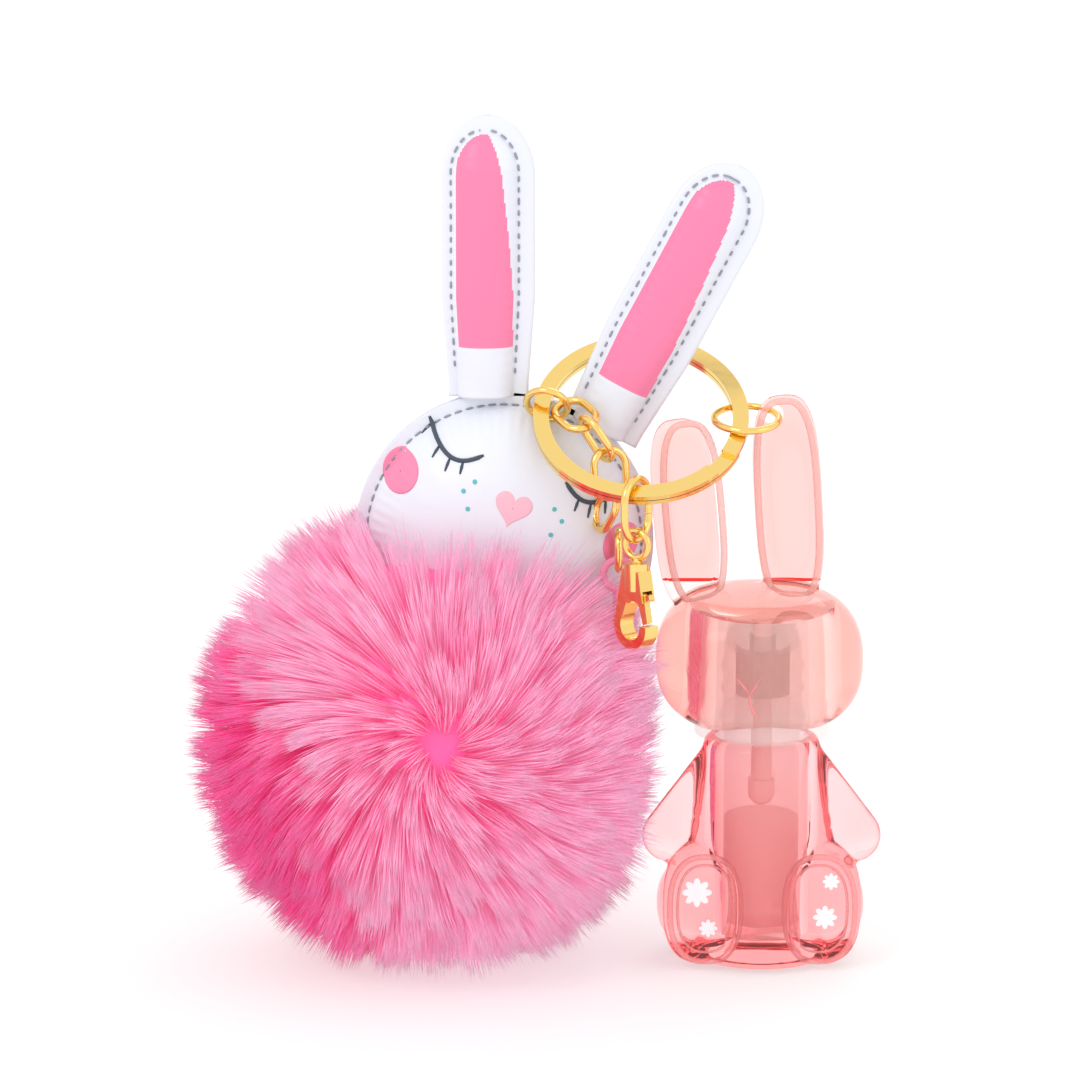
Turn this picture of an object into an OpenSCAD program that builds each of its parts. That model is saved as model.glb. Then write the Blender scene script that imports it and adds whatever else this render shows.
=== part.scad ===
// Plush keychain: a fur pom-pom with a padded bunny head, a split ring with its chain and clasp,
// and a clear bunny shaped cosmetic bottle. Millimetres, +Z up, the floor is z = 0.

/* [Pom-pom] */
// radius of the fur ball
fur_r = 34.5; // [28:0.5:40]
// radius of the stuffing ball under the pile
core_r = 20; // [14:0.5:26]
// position of the ball's centre across the part
pom_x = -14; // [-20:0.5:-8]
// height of the ball's centre; less than the radius, so that the ball stands on a flat
pom_z = 32; // [26:0.5:34]

/* [Head] */
// radius of the head panels with their sewn flange
head_r = 21; // [18:0.5:24]
// width of the flange outside the stitches
flange_w = 1.6; // [1:0.1:3]
// height of each domed panel above the seam
head_dome = 9.2; // [6:0.2:12]
// thickness of the leatherette
leather_t = 0.8; // [0.5:0.1:1.2]
// lean of the head to its left
head_roll = 18; // [0:1:30]

/* [Plush ears] */
// radius of the padded tube's outline
ear_r = 4.5; // [3.5:0.1:6]
// height of the padding above the seam, each side
ear_dome = 1.9; // [1.5:0.1:3.5]
// width of the ear with its flange
ear_w = 13; // [10:0.5:16]
// lean of the right ear
ear_lean = 28; // [10:1:40]
// length of the left ear above the head
left_ear_len = 37.5; // [25:0.5:45]
// length of the right ear above the head
right_ear_len = 40; // [25:0.5:45]

/* [Split ring and chain] */
// outer diameter of the split ring
ring_od = 30; // [24:1:35]
// width of the flat wire across the ring's face
ring_w = 2.2; // [1.6:0.1:3]
// thickness of one coil
coil_t = 0.8; // [0.6:0.05:1.2]
// tilt of the ring from level
ring_tilt = 38; // [20:1:60]
// wire diameter of the chain
wire_d = 1.1; // [0.8:0.05:1.4]
// outer length of one chain link
link_len = 7.8; // [6:0.2:10]
// outer width of one chain link
link_w = 5.8; // [4:0.2:8]
// free play between two links
play = 0.25; // [0.1:0.05:0.5]

/* [Clear bunny] */
// position of the bottle's axis across the part
bottle_x = 31.8; // [28:0.1:36]
// width of the head
cap_w = 29.4; // [24:0.2:34]
// depth of the head
cap_depth = 25; // [20:0.5:28]
// height of the joint between the head and the body
joint_z = 32.6; // [28:0.2:36]
// height of the head
cap_h = 21.2; // [16:0.2:24]
// radius of the socket in the head
socket_r = 9.6; // [8:0.1:11]
// outer radius of the bottle's neck
neck_r = 6.2; // [5:0.1:7]
// radius of the wand's stem
stem_r = 1.5; // [1:0.1:2]

/* [Hidden] */
$fn = 64;
eps = 0.05;

// the seam plane of the head and of both ears
seam_y = 4;
head_x = -4.5;
head_z = 59.4;
left_ear_base = [-6.6, seam_y, 81.9];
right_ear_base = [10, seam_y, 76.8];
// how far the ears run down behind their visible base, to meet the head's edge
ear_root = 4;
rim_r = head_r - flange_w;
dome_h = head_dome - leather_t;

ring_mid = (ring_od - ring_w) / 2;
ring_at = [14.6, -2.2, 77.7];

reach = (link_len - wire_d) / 2;
grip = wire_d + play;

cap_top = joint_z + cap_h;
neck_top = joint_z + 12;
bore_r = 4.4;
vial_r = 6.6;
liner_r = socket_r - eps;

// ---------------------------------------------------------------- shared shapes

// puts a shape drawn about +Z into the seam plane, its +Z side facing the front
module facing_front() {
  rotate([90, 0, 0])
    children();
}

module in_head_place() {
  translate([head_x, seam_y, head_z])
    rotate([0, head_roll, 0])
      children();
}

// the head's outline as a flat disc, used to end the ears at the seam
module head_disc(r, half_t) {
  in_head_place()
    facing_front()
      translate([0, 0, -half_t])
        cylinder(h = 2 * half_t, r = r);
}

// cap of a ball that stands h above z = 0 over a circle of radius r
module dome(r, h) {
  ball = (r * r + h * h) / (2 * h);
  intersection() {
    translate([0, 0, h - ball])
      sphere(r = ball);
    cylinder(h = h + 1, r = r + 1);
  }
}

module wire_loop(mean_r, d) {
  rotate_extrude()
    translate([mean_r, 0])
      circle(d = d, $fn = 32);
}

// ---------------------------------------------------------------- pom-pom

// room for the padded head, which is sewn into the top of the ball
module head_pocket() {
  head_disc(head_r + 0.2, head_dome + 0.3);
}

// room for the bottle to turn and to swing forward beside the ball
module bottle_envelope() {
  translate([bottle_x, 0, -1])
    cylinder(h = 120, r = 18.8);
  translate([bottle_x - 17.6, -60, -1])
    cube([60, 60, 120]);
}

// hollow in the pile where the clasp hangs and swings
module clasp_pocket() {
  translate([open_bottom[0], open_bottom[1], collar_top - 15])
    cylinder(h = 40, r = clasp_r + 3.2);
}

module above_floor() {
  intersection() {
    children();
    translate([-100, -100, 0])
      cube([200, 200, 200]);
  }
}

module pompom_fur() {
  color([0.98, 0.35, 0.62])
    difference() {
      above_floor()
        translate([pom_x, 0, pom_z])
          sphere(r = fur_r);
      translate([pom_x, 0, pom_z])
        sphere(r = core_r + eps);
      head_pocket();
      bottle_envelope();
      clasp_pocket();
      loop_root(eps);
    }
}

module pompom_stuffing() {
  color([0.95, 0.8, 0.85])
    difference() {
      translate([pom_x, 0, pom_z])
        sphere(r = core_r);
      head_pocket();
    }
}

// the sewn loop that the chain's last link hangs on: a cord ring with its root in the fur
loop_at = [11.5, -5.2, 56.2];
loop_r = 2.1;
loop_d = 1;

module loop_root(gap) {
  translate([loop_at[0], loop_at[1], loop_at[2] - loop_r - 7])
    cylinder(h = 7.1, r = 0.8 + gap);
  translate(loop_at)
    rotate([90, 0, 0])
      wire_loop(loop_r, loop_d + 2 * gap);
}

module hanging_loop() {
  color([0.95, 0.45, 0.65])
    loop_root(0);
}

// ---------------------------------------------------------------- head

module head_panel_shape() {
  facing_front()
    difference() {
      union() {
        cylinder(h = leather_t, r = head_r);
        translate([0, 0, leather_t])
          dome(rim_r, dome_h);
      }
      translate([0, 0, -eps])
        dome(rim_r - leather_t, dome_h);
    }
}

module head_front_panel() {
  color([0.96, 0.96, 0.98])
    in_head_place()
      head_panel_shape();
}

module head_back_panel() {
  color([0.93, 0.93, 0.96])
    in_head_place()
      rotate([0, 0, 180])
        head_panel_shape();
}

module head_stuffing() {
  color([0.9, 0.9, 0.9])
    in_head_place()
      for (side = [0, 180])
        rotate([0, 0, side])
          facing_front()
            dome(rim_r - leather_t - eps, dome_h - eps);
}

// ---------------------------------------------------------------- plush ears

// outline of the padded tube or of the flange, from below the base to the tip
module ear_outline(half_w, len) {
  translate([-half_w, -ear_root])
    square([2 * half_w, ear_root + len - half_w]);
  translate([0, len - half_w])
    circle(r = half_w);
}

// half of the padding: a round bar and a ball, both cut by the seam plane
module ear_pad(r, h, len) {
  bar_r = (r * r + h * h) / (2 * h);
  intersection() {
    translate([0, 0, h - bar_r]) {
      translate([0, -ear_root, 0])
        rotate([-90, 0, 0])
          cylinder(h = ear_root + len - r, r = bar_r);
      translate([0, len - r, 0])
        sphere(r = bar_r);
    }
    translate([-r - 1, -ear_root - 1, 0])
      cube([2 * r + 2, len + ear_root + 4, h + 1]);
  }
}

module ear_panel_shape(len) {
  facing_front()
    difference() {
      union() {
        linear_extrude(leather_t)
          ear_outline(ear_w / 2, len);
        translate([0, 0, leather_t])
          ear_pad(ear_r, ear_dome, len - (ear_w / 2 - ear_r));
      }
      translate([0, 0, -eps])
        ear_pad(ear_r - leather_t, ear_dome, len - (ear_w / 2 - ear_r) - leather_t);
    }
}

module ear_stuffing_shape(len) {
  pad_len = len - (ear_w / 2 - ear_r) - leather_t - eps;
  for (side = [0, 180])
    rotate([0, 0, side])
      facing_front()
        ear_pad(ear_r - leather_t - eps, ear_dome - 2 * eps, pad_len);
}

module in_left_ear_place() {
  difference() {
    translate(left_ear_base)
      children();
    head_disc(head_r + eps, 12);
  }
}

module in_right_ear_place() {
  difference() {
    translate(right_ear_base)
      rotate([0, ear_lean, 0])
        children();
    head_disc(head_r + eps, 12);
  }
}

module left_ear_front_panel() {
  color([0.98, 0.55, 0.7])
    in_left_ear_place()
      ear_panel_shape(left_ear_len);
}

module left_ear_back_panel() {
  color([0.95, 0.95, 0.98])
    in_left_ear_place()
      rotate([0, 0, 180])
        ear_panel_shape(left_ear_len);
}

module left_ear_stuffing() {
  color([0.9, 0.9, 0.9])
    in_left_ear_place()
      ear_stuffing_shape(left_ear_len);
}

module right_ear_front_panel() {
  color([0.98, 0.55, 0.7])
    in_right_ear_place()
      ear_panel_shape(right_ear_len);
}

module right_ear_back_panel() {
  color([0.95, 0.95, 0.98])
    in_right_ear_place()
      rotate([0, 0, 180])
        ear_panel_shape(right_ear_len);
}

module right_ear_stuffing() {
  color([0.9, 0.9, 0.9])
    in_right_ear_place()
      ear_stuffing_shape(right_ear_len);
}

// ---------------------------------------------------------------- split ring

in_plane_y = [0, cos(ring_tilt), sin(ring_tilt)];

// point on the ring's middle line at an angle from its right-hand side
function ring_point(a) = ring_at + ring_mid * (cos(a) * [1, 0, 0] + sin(a) * in_plane_y);

// direction of the wire there
function ring_tangent(a) = -sin(a) * [1, 0, 0] + cos(a) * in_plane_y;

function unit(v) = v / norm(v);

crossover_a = -45;
crossover_gap = 15;
groove_depth = 0.3;
groove_h = 0.12;

// a flat band about the ring's axis
module ring_band(r_in, r_out, z0, h, sweep) {
  rotate_extrude(angle = sweep, $fn = 96)
    translate([r_in, z0])
      square([r_out - r_in, h]);
}

// two coils pressed together: a groove between them, and a gap in each face where one coil ends
module split_ring() {
  r_in = ring_mid - ring_w / 2;
  r_out = ring_od / 2;
  color([0.85, 0.65, 0.25])
    translate(ring_at)
      rotate([ring_tilt, 0, 0])
        difference() {
          ring_band(r_in, r_out, -coil_t, 2 * coil_t, 360);
          ring_band(r_out - groove_depth, r_out + 1, -groove_h / 2, groove_h, 360);
          ring_band(r_in - 1, r_in + groove_depth, -groove_h / 2, groove_h, 360);
          rotate([0, 0, crossover_a])
            ring_band(r_in - 1, r_out + 1, groove_h, coil_t, crossover_gap);
          rotate([0, 0, crossover_a + crossover_gap + 5])
            ring_band(r_in - 1, r_out + 1, -coil_t - groove_h, coil_t, crossover_gap);
        }
}

// ---------------------------------------------------------------- chain

// one link: two half rings joined by straight wires, drawn about +Z in the XZ plane
module link_shape(len, w, d) {
  end = (w - d) / 2;
  straight = (len - w) / 2;
  for (side = [0, 180])
    rotate([0, side, 0])
      translate([0, 0, straight])
        rotate([90, 0, 0])
          rotate_extrude(angle = 180)
            translate([end, 0])
              circle(d = d, $fn = 32);
  for (side = [-1, 1])
    translate([side * end, 0, -straight])
      cylinder(h = 2 * straight, d = d);
}

// stands a shape at c with its Z along d and its X along w
module set_along(c, d, w) {
  n = cross(d, w);
  multmatrix([
    [w[0], n[0], d[0], c[0]],
    [w[1], n[1], d[1], c[1]],
    [w[2], n[2], d[2], c[2]]
  ])
    children();
}

jump_a = 168.6;
jump_r = 2.9;
jump_d = 1;
jump_inward = unit(ring_at - ring_point(jump_a));
jump_c = ring_point(jump_a) + 0.6 * jump_inward;

// run of each link of the hanging chain, top to bottom
chain_run = [[0.54, -0.77, -0.35], [0.54, -0.11, -0.83], [0.05, -0.17, -0.98], [-0.37, 0.43, -0.82]];

// direction, width direction and lower pivot of link i; link -1 is the small jump ring
function run(i) = unit(chain_run[i]);
function width(i) = i < 0 ? unit(cross(ring_tangent(jump_a), jump_inward)) : unit(cross(run(i), width(i - 1)));
function pivot(i) = i < 0 ? jump_c + jump_r * jump_inward : link_centre(i) + reach * run(i);
function link_centre(i) = pivot(i - 1) + (reach - grip + (i == 0 ? (wire_d - jump_d) / 2 : 0)) * run(i);

gold = [0.86, 0.66, 0.27];

module small_jump_ring() {
  color(gold)
    set_along(jump_c, ring_tangent(jump_a), jump_inward)
      wire_loop(jump_r, jump_d);
}

module chain_link(i) {
  color(gold)
    set_along(link_centre(i), run(i), width(i))
      link_shape(link_len, link_w, wire_d);
}

module chain_link_a() {
  chain_link(0);
}

module chain_link_b() {
  chain_link(1);
}

module chain_link_c() {
  chain_link(2);
}

module chain_link_d() {
  chain_link(3);
}

// the last link stands on the plush's own loop
last_len = 6.4;
last_w = 5.2;
last_at = loop_at + [0, 0, loop_r - (loop_d + wire_d) / 2 - play + (last_len - wire_d) / 2];

module chain_link_e() {
  color(gold)
    translate(last_at)
      rotate([0, 0, 90])
        link_shape(last_len, last_w, wire_d);
}

// ---------------------------------------------------------------- open link and clasp

open_len = 9.6;
open_w = 7;
open_twist = 55;
open_a = -93;
open_at = ring_point(open_a) + [0, 0, 2.2 - (open_len - wire_d) / 2];
open_bottom = open_at - [0, 0, (open_len - wire_d) / 2];

module open_link() {
  color(gold)
    translate(open_at)
      rotate([0, 0, open_twist])
        difference() {
          link_shape(open_len, open_w, wire_d);
          translate([open_w / 2 - 2, -2, -1])
            cube([3, 4, 0.12]);
        }
}

eye_r = 1.9;
eye_d = 1;
post_r = 0.7;
button_r = 1.15;
collar_r = 1.7;
clasp_t = 2.4;
clasp_r = 3.3;
mouth_r = 2;
clasp_twist = -50;
// heights along the clasp, measured down from the collar's top
collar_top = 59.6;
chamber_top = collar_top - 1.9;
chamber_floor = collar_top - 3.4;
pin_z = collar_top - 4.7;
pin_x = 1.1;
hook_z = collar_top - 8.8;
gate_top = pin_z - 0.5;
gate_bottom = hook_z + 0.25;
slot_t = 1.7;
lever_t = 1;
pin_r = 0.35;

module in_clasp_place() {
  translate([open_bottom[0], open_bottom[1], 0])
    rotate([0, 0, clasp_twist])
      children();
}

// extrudes an outline drawn in the clasp's flat, centred on its thickness and moved by y
module clasp_slab(t, y = 0) {
  translate([0, y + t / 2, 0])
    rotate([90, 0, 0])
      linear_extrude(t)
        children();
}

module clasp_eye() {
  eye_z = open_bottom[2] + (wire_d + eye_d) / 2 + 0.15 - eye_r;
  post_top = eye_z - eye_r;
  color(gold)
    union() {
      translate([open_bottom[0], open_bottom[1], eye_z])
        rotate([0, 0, open_twist])
          rotate([0, 90, 0])
            wire_loop(eye_r, eye_d);
      translate([open_bottom[0], open_bottom[1], chamber_floor + 0.5]) {
        cylinder(h = post_top - chamber_floor - 0.5, r = post_r);
        cylinder(h = 0.7, r = button_r);
      }
    }
}

module clasp_outline() {
  difference() {
    union() {
      translate([0, hook_z])
        circle(r = clasp_r);
      polygon([
        [-collar_r, collar_top - 1], [collar_r, collar_top - 1],
        [clasp_r, hook_z], [-clasp_r, hook_z]
      ]);
    }
    translate([0, hook_z])
      circle(r = mouth_r);
    polygon([[-0.8, gate_top - 0.4], [0.8, gate_top - 0.4], [mouth_r, hook_z], [-mouth_r, hook_z]]);
    translate([0, gate_bottom])
      square([clasp_r + 1, gate_top - gate_bottom]);
  }
}

module clasp_body() {
  color(gold)
    in_clasp_place()
      difference() {
        union() {
          clasp_slab(clasp_t)
            clasp_outline();
          translate([0, 0, chamber_floor - 0.4])
            cylinder(h = collar_top - chamber_floor + 0.4, r = collar_r);
        }
        translate([0, 0, chamber_top - 1])
          cylinder(h = 5, r = post_r + 0.05);
        translate([0, 0, chamber_floor])
          cylinder(h = chamber_top - chamber_floor, r = button_r + 0.15);
        clasp_slab(slot_t)
          translate([0, gate_top - 0.1])
            square([clasp_r + 1, 1.6]);
        translate([pin_x, 0, pin_z])
          rotate([90, 0, 0])
            cylinder(h = 4, r = pin_r, center = true);
      }
}

// the gate: a knuckle on the pin, an arm that closes the mouth, a thumb piece outside
module clasp_lever() {
  color(gold)
    in_clasp_place()
      difference() {
        clasp_slab(lever_t, -0.3) {
          translate([pin_x, pin_z])
            circle(r = 0.8);
          polygon([
            [pin_x - 0.2, pin_z - 0.6], [pin_x + 0.5, pin_z - 0.3], [pin_x + 0.62, pin_z + 0.3],
            [pin_x + 2.4, pin_z + 0.8], [pin_x + 2.5, pin_z + 0.1], [pin_x + 1.5, pin_z - 0.5],
            [clasp_r - 0.1, gate_bottom + 0.62], [mouth_r + 0.3, gate_bottom + 0.18], [pin_x + 0.4, pin_z - 1.3]
          ]);
        }
        translate([pin_x, 0, pin_z])
          rotate([90, 0, 0])
            cylinder(h = 4, r = pin_r + 0.05, center = true);
      }
}

module lever_pin() {
  color([0.8, 0.6, 0.25])
    in_clasp_place()
      translate([pin_x, 0, pin_z])
        rotate([90, 0, 0])
          cylinder(h = clasp_t, r = pin_r, center = true);
}

module lever_spring() {
  color([0.75, 0.75, 0.78])
    in_clasp_place()
      translate([pin_x, 0.35, pin_z])
        rotate([-90, 0, 0])
          for (turn = [0, 1])
            translate([0, 0, 0.12 + turn * 0.15])
              wire_loop(0.5, 0.18);
}

// ---------------------------------------------------------------- charm jump ring

charm_ring_r = 4.5;
charm_ring_d = 1;
charm_ring_at = [29.3, -1.7, 77.64];
charm_ring_tilt = 12;

module charm_jump_ring() {
  color(gold)
    translate(charm_ring_at)
      rotate([charm_ring_tilt, 0, 0])
        wire_loop(charm_ring_r, charm_ring_d);
}

// ---------------------------------------------------------------- clear bunny

clear_ear_t = 3.4;
charm_hole = [32.9, 0, 78];
charm_hole_r = 1.6;
corner_r = 8.5;

module on_axis(z) {
  translate([bottle_x, 0, z])
    children();
}

// the head: a rounded drum with slightly flattened front and back
module cap_head() {
  half = cap_w / 2;
  flat_r = 40;
  intersection() {
    rotate_extrude($fn = 96)
      union() {
        square([half - corner_r, cap_h]);
        translate([0, corner_r])
          square([half, cap_h - 2 * corner_r]);
        for (z = [corner_r, cap_h - corner_r])
          intersection() {
            translate([half - corner_r, z])
              circle(r = corner_r);
            square([half + 1, cap_h]);
          }
      }
    translate([0, flat_r - cap_depth / 2, cap_h / 2])
      sphere(r = flat_r);
    translate([0, cap_depth / 2 - flat_r, cap_h / 2])
      sphere(r = flat_r);
  }
}

// one upright ear: a flat bar with a round tip
module clear_ear(x, base_z, lean, len, w) {
  translate([x, clear_ear_t / 2, base_z])
    rotate([0, lean, 0])
      rotate([90, 0, 0])
        linear_extrude(clear_ear_t) {
          translate([-w / 2, 0])
            square([w, len - w / 2]);
          translate([0, len - w / 2])
            circle(r = w / 2);
        }
}

module cap_shell() {
  ear_z = cap_top - 3;
  color([1, 0.72, 0.7, 0.6])
    difference() {
      union() {
        on_axis(joint_z)
          cap_head();
        clear_ear(24, ear_z, -9, 27, 9);
        clear_ear(36.2, ear_z, -3.5, 30, 9.6);
      }
      on_axis(joint_z - 1)
        cylinder(h = 18.5, r = socket_r);
      translate(charm_hole)
        rotate([90, 0, 0])
          cylinder(h = 10, r = charm_hole_r, center = true);
    }
}

module cap_liner() {
  color([1, 0.85, 0.83, 0.7])
    on_axis(joint_z)
      difference() {
        cylinder(h = 17.4, r = liner_r);
        translate([0, 0, -1])
          cylinder(h = 16.7, r = neck_r + 1.1);
      }
}

module wand_stem() {
  color([1, 0.95, 0.95])
    on_axis(25.5)
      cylinder(h = joint_z + 15.7 - 25.5, r = stem_r);
}

module applicator_tip() {
  color([1, 0.9, 0.9])
    on_axis(25.5) {
      translate([0, 0, -2])
        cylinder(h = 2, r = stem_r + 0.4);
      translate([0, 0, -2])
        sphere(r = stem_r + 0.4);
    }
}

module wiper_plug() {
  color([1, 0.9, 0.88, 0.8])
    on_axis(neck_top)
      difference() {
        union() {
          translate([0, 0, -6])
            cylinder(h = 6, r = bore_r - eps);
          translate([0, 0, eps])
            cylinder(h = 1, r = neck_r - 0.4);
          cylinder(h = 1, r = bore_r - eps);
        }
        translate([0, 0, -7])
          cylinder(h = 9, r = stem_r + 0.7);
      }
}

module bottle_neck() {
  color([1, 0.7, 0.7, 0.7])
    on_axis(0)
      difference() {
        union() {
          translate([0, 0, 4])
            cylinder(h = joint_z - 4.4, r = vial_r);
          cylinder(h = neck_top, r = neck_r);
          for (bead = [0 : 2])
            translate([0, 0, joint_z + 4 + bead * 2.8])
              wire_loop(neck_r, 0.9);
        }
        translate([0, 0, -1])
          cylinder(h = 5, r = neck_r + 1);
        translate([0, 0, 5.4])
          cylinder(h = neck_top - 14.4, r = vial_r - 1.2);
        translate([0, 0, neck_top - 10])
          cylinder(h = 12, r = bore_r);
      }
}

module gloss_fill() {
  color([0.95, 0.45, 0.5, 0.8])
    on_axis(5.45)
      cylinder(h = 14.5, r = vial_r - 1.25);
}

foot_r = 6;
foot_h = 17.5;
foot_x = 8;
foot_front = -9;

module foot_outline(r) {
  hull()
    for (z = [foot_r, foot_h - foot_r])
      translate([0, z])
        circle(r = r);
}

module foot(side) {
  translate([side * foot_x, 0, -0.4])
    difference() {
      union() {
        rotate([90, 0, 0])
          linear_extrude(-foot_front)
            foot_outline(foot_r);
        translate([side * 0.8, 1.3, 6.8])
          sphere(r = 7.2);
      }
      translate([0, foot_front + 0.8, 0])
        rotate([90, 0, 0])
          linear_extrude(5)
            foot_outline(foot_r - 1.3);
    }
}

shoulder = [6.5, -1.5, 29];
arm_len = 12.6;
arm_spread = 150;

module arm() {
  translate(shoulder)
    rotate([0, arm_spread, 0]) {
      cylinder(h = arm_len, r1 = 2.4, r2 = 3.3);
      translate([0, 0, arm_len])
        sphere(r = 3.7);
    }
}

module bottle_shell() {
  color([0.98, 0.5, 0.5, 0.6])
    on_axis(0)
      difference() {
        union() {
          cylinder(h = joint_z - 0.3, r1 = 11.5, r2 = 8.2);
          for (side = [0, 180])
            rotate([0, 0, side])
              translate([0, side == 0 ? 0 : 2 * -shoulder[1], 0])
                arm();
          above_floor()
            for (side = [-1, 1])
              foot(side);
        }
        translate([0, 0, 4 - eps])
          cylinder(h = joint_z, r = vial_r + eps);
      }
}

// ---------------------------------------------------------------- the selected nodes

pompom_fur();
pompom_stuffing();
hanging_loop();
head_front_panel();
head_back_panel();
head_stuffing();
left_ear_front_panel();
left_ear_back_panel();
left_ear_stuffing();
right_ear_front_panel();
right_ear_back_panel();
right_ear_stuffing();
split_ring();
small_jump_ring();
chain_link_a();
chain_link_b();
chain_link_c();
chain_link_d();
chain_link_e();
open_link();
clasp_eye();
clasp_body();
clasp_lever();
lever_pin();
lever_spring();
charm_jump_ring();
cap_shell();
cap_liner();
wand_stem();
applicator_tip();
wiper_plug();
bottle_shell();
bottle_neck();
gloss_fill();
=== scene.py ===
"""Looks of the plush keychain: fur pom-pom, padded bunny head, gold ring and chain, clear bunny bottle."""
import math

import bpy
import numpy as np
from mathutils import Matrix, Vector
from mathutils.kdtree import KDTree


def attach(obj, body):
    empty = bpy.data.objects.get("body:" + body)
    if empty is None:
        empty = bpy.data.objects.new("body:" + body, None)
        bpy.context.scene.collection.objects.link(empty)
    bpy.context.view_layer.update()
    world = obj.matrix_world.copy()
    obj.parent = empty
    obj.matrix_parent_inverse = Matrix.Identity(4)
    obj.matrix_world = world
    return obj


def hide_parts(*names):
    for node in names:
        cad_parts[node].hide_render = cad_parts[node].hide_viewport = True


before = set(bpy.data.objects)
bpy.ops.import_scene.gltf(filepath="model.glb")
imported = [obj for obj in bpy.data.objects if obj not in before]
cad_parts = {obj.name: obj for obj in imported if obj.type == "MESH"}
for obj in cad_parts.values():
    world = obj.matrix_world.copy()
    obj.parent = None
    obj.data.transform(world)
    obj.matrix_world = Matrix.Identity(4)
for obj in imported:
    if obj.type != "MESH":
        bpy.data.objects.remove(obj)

MM = 0.001
rng = np.random.default_rng(11)

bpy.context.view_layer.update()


# ------------------------------------------------------------ camera, floor, light

VIEW_ELEVATION = math.radians(12)
CAMERA_DISTANCE = 0.857
FIELD_WIDTH = 0.1512
LOOK_AT = Vector((0.57, 0, 60.0)) * MM


def make_camera():
    data = bpy.data.cameras.new("camera")
    data.sensor_width = 36
    data.lens = data.sensor_width * CAMERA_DISTANCE / FIELD_WIDTH
    camera = bpy.data.objects.new("camera", data)
    back = Vector((0, -math.cos(VIEW_ELEVATION), math.sin(VIEW_ELEVATION)))
    camera.location = LOOK_AT + back * CAMERA_DISTANCE
    camera.rotation_euler = back.to_track_quat("Z", "Y").to_euler()
    bpy.context.collection.objects.link(camera)
    bpy.context.scene.camera = camera


def area_light(name, location, size, power, tint=(1, 1, 1)):
    data = bpy.data.lights.new(name, "AREA")
    data.shape = "DISK"
    data.size = size
    data.energy = power
    data.color = tint
    light = bpy.data.objects.new(name, data)
    light.location = location
    aim = Vector((0, 0, 0.05)) - Vector(location)
    light.rotation_euler = aim.to_track_quat("-Z", "Y").to_euler()
    bpy.context.collection.objects.link(light)


# ------------------------------------------------------------ materials


def material(name, **values):
    mat = bpy.data.materials.new(name)
    mat.use_nodes = True
    shader = mat.node_tree.nodes["Principled BSDF"]
    for key, value in values.items():
        shader.inputs[key.replace("_", " ")].default_value = value
    return mat, mat.node_tree, shader


def add_bump(tree, shader, scale, strength, distance=0.0002, kind="ShaderNodeTexNoise"):
    coords = tree.nodes.new("ShaderNodeTexCoord")
    texture = tree.nodes.new(kind)
    texture.inputs["Scale"].default_value = scale
    bump = tree.nodes.new("ShaderNodeBump")
    bump.inputs["Strength"].default_value = strength
    bump.inputs["Distance"].default_value = distance
    tree.links.new(coords.outputs["Object"], texture.inputs["Vector"])
    tree.links.new(texture.outputs[0], bump.inputs["Height"])
    tree.links.new(bump.outputs["Normal"], shader.inputs["Normal"])


def gold_material():
    mat, tree, shader = material("gold", Metallic=1.0, Roughness=0.14, Base_Color=(0.93, 0.66, 0.22, 1))
    add_bump(tree, shader, 900, 0.05)
    return mat


def leather_material(name, colour):
    mat, tree, shader = material(name, Base_Color=(*colour, 1), Roughness=0.38)
    shader.inputs["Specular IOR Level"].default_value = 0.45
    add_bump(tree, shader, 1400, 0.12, 0.0001, "ShaderNodeTexVoronoi")
    return mat


def plain_material(name, colour, rough=0.5):
    mat, tree, shader = material(name, Base_Color=(*colour, 1), Roughness=rough)
    add_bump(tree, shader, 2500, 0.08, 0.00005)
    return mat


def clear_material(name, colour, density, rough=0.02):
    """Tinted clear plastic: a glass surface, with the colour in its depth and a faint milkiness, partly a
    painted glow in its own colour.
    """
    mat, tree, shader = material(name, Base_Color=(1, 1, 1, 1), Roughness=rough, IOR=1.22)
    # painted glow: the plastic gives off a little light of its own colour, standing in for its milkiness
    shader.inputs["Emission Color"].default_value = (*colour, 1)
    shader.inputs["Emission Strength"].default_value = 0.035
    shader.inputs["Transmission Weight"].default_value = 1
    # seen edge-on the plastic is deeper in colour, as its rims are
    edge = tree.nodes.new("ShaderNodeLayerWeight")
    edge.inputs["Blend"].default_value = 0.35
    ramp = tree.nodes.new("ShaderNodeValToRGB")
    ramp.color_ramp.elements[0].color = (*[0.75 + 0.25 * c for c in colour], 1)
    ramp.color_ramp.elements[1].color = (*[c ** 2.2 for c in colour], 1)
    ramp.color_ramp.elements[0].position = 0.25
    tree.links.new(edge.outputs["Facing"], ramp.inputs["Fac"])
    tree.links.new(ramp.outputs["Color"], shader.inputs["Base Color"])
    volume = tree.nodes.new("ShaderNodeVolumeAbsorption")
    volume.inputs["Color"].default_value = (*colour, 1)
    volume.inputs["Density"].default_value = density
    tree.links.new(volume.outputs[0], tree.nodes["Material Output"].inputs["Volume"])
    add_bump(tree, shader, 120, 0.05, 0.0003)
    return mat


def milky_material(name, colour, alpha, rough=0.1):
    """Thin translucent plastic inside the bottle, partly see-through without bending the view."""
    mat, tree, shader = material(name, Base_Color=(*colour, 1), Roughness=rough, Alpha=alpha)
    add_bump(tree, shader, 300, 0.05, 0.0002)
    return mat


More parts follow.
